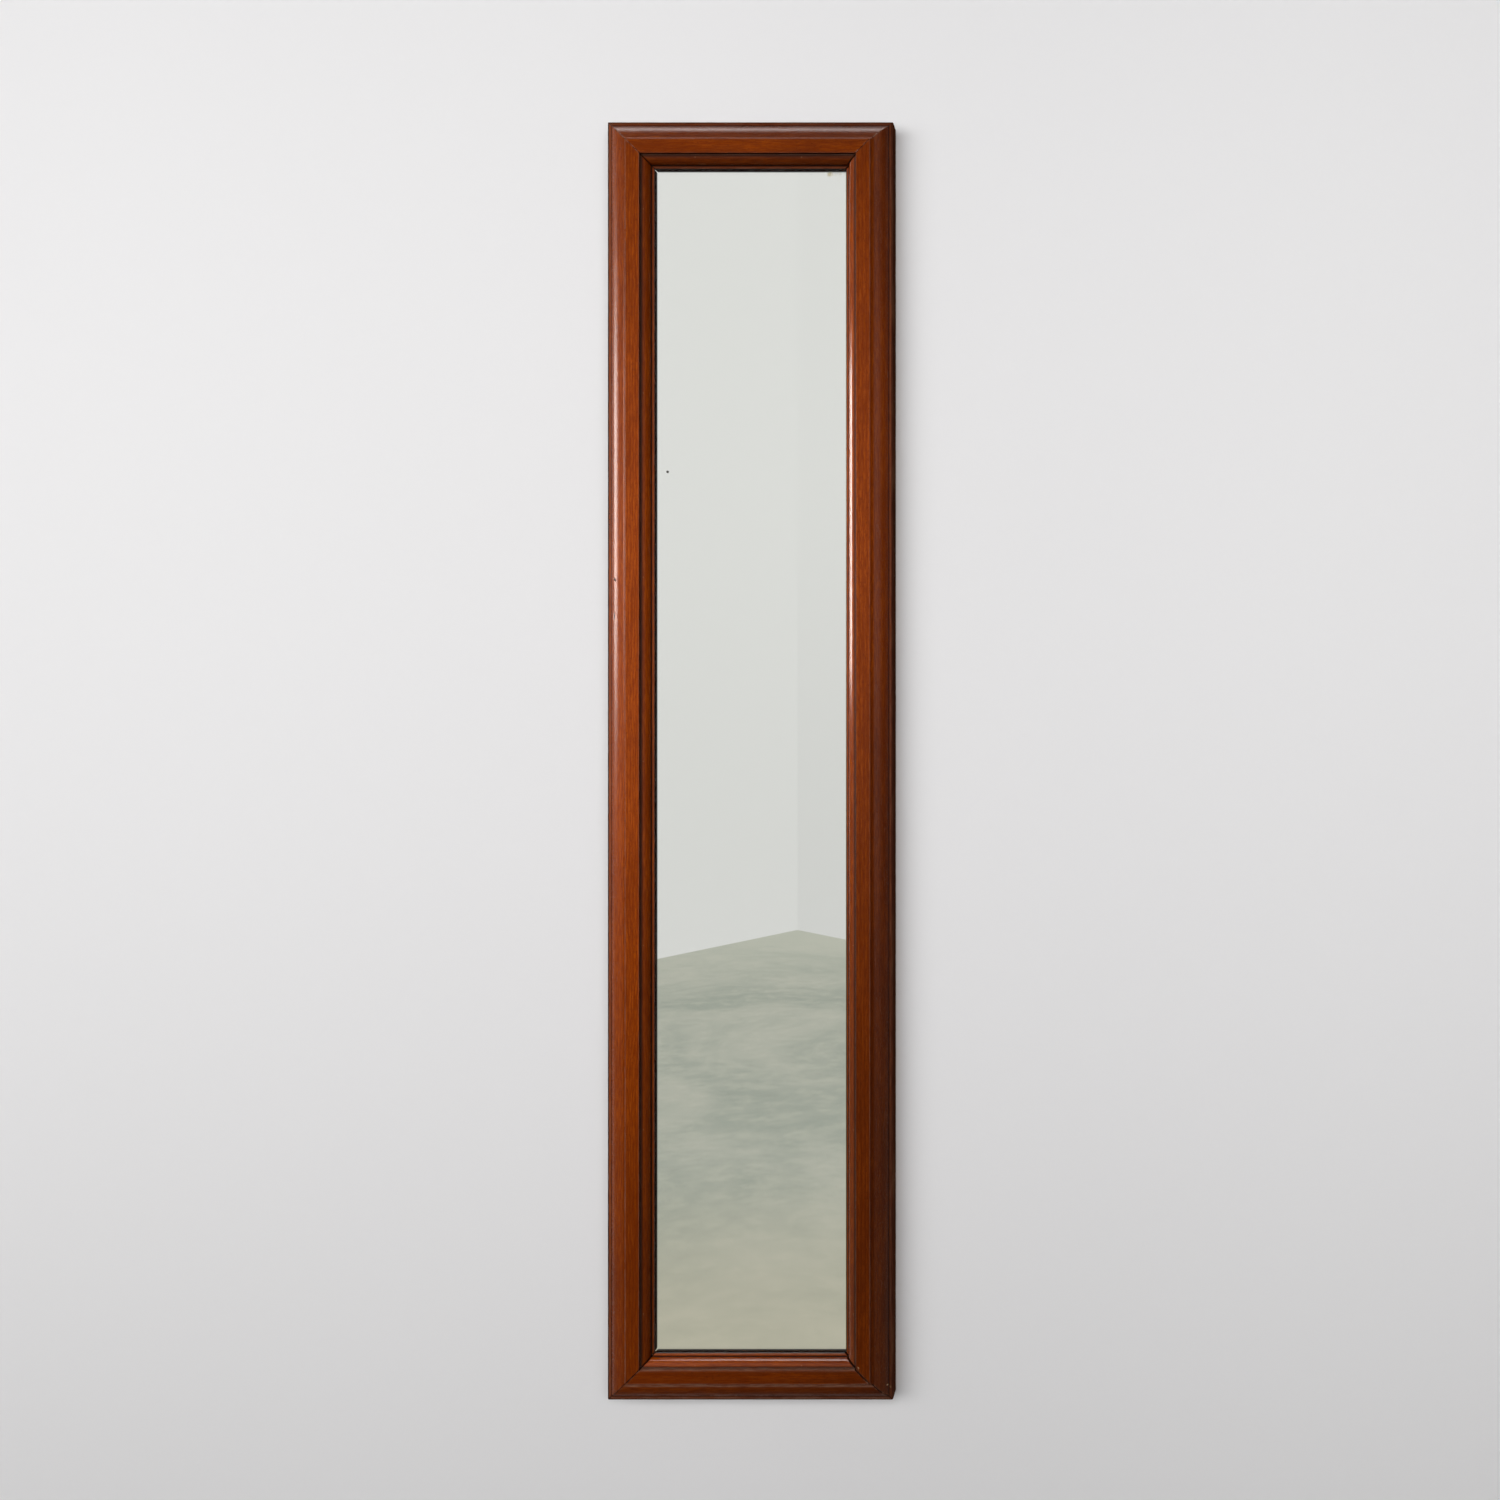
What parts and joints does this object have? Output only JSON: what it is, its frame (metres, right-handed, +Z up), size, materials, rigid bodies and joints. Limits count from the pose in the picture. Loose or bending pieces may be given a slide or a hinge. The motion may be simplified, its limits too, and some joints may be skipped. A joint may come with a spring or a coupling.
{
  "type": "pier mirror",
  "caption": "Tall, narrow wall mirror: silvered plate glass in a mitred, moulded hardwood frame, with backboards and hanger rings that swing.",
  "frame": {"origin": "middle of the wall face of the top wall pad, which lies on the frame's centre line, 24 mm below its top edge", "axes": "+Y points into the wall and the mirror faces -Y, +Z is up along the stiles, +X is to the viewer's right"},
  "size_m": [0.4, 0.052, 1.79],
  "materials": {
    "frame_wood": "red-brown stain under a worn french polish, satin",
    "slip_wood": "darker red-brown stain under a worn french polish, satin",
    "plate_glass": "old plate glass with a faint green cast",
    "silver_coat": "silvering with a few worn specks",
    "softwood": "bare, aged pine",
    "nail_iron": "dull iron",
    "plate_iron": "dull iron with light rust",
    "brass": "dulled brass",
    "pad_rubber": "matt black"
  },
  "bodies": {
    "frame": {"left_stile": "frame_wood", "right_stile": "frame_wood", "top_rail": "frame_wood", "bottom_rail": "frame_wood", "left_slip": "slip_wood", "right_slip": "slip_wood", "top_slip": "slip_wood", "bottom_slip": "slip_wood", "mirror_plate": "plate_glass", "silvering": "silver_coat", "glazing_blocks": "softwood", "upper_backboard": "softwood", "middle_backboard": "softwood", "lower_backboard": "softwood", "mitre_tongues": "softwood", "backboard_brads": "nail_iron", "slip_pins": "nail_iron", "mitre_nails": "nail_iron", "corner_plate_top_left": "plate_iron", "corner_plate_top_right": "plate_iron", "corner_plate_bottom_left": "plate_iron", "corner_plate_bottom_right": "plate_iron", "corner_plate_screws": "plate_iron", "left_hanger_strap": "brass", "right_hanger_strap": "brass", "hanger_screws": "brass", "wall_pads": "pad_rubber"},
    "left_ring": {"left_hanger_ring": "brass"},
    "right_ring": {"right_hanger_ring": "brass"}
  },
  "joints": [
    {"name": "left_ring_swing", "type": "hinge", "parent": "frame", "child": "left_ring", "pos_m": [-0.176, -0.00522, -0.316], "axis": [1, 0, 0], "range_deg": [0, 172]},
    {"name": "right_ring_swing", "type": "hinge", "parent": "frame", "child": "right_ring", "pos_m": [0.176, -0.00522, -0.316], "axis": [1, 0, 0], "range_deg": [0, 172]}
  ]
}
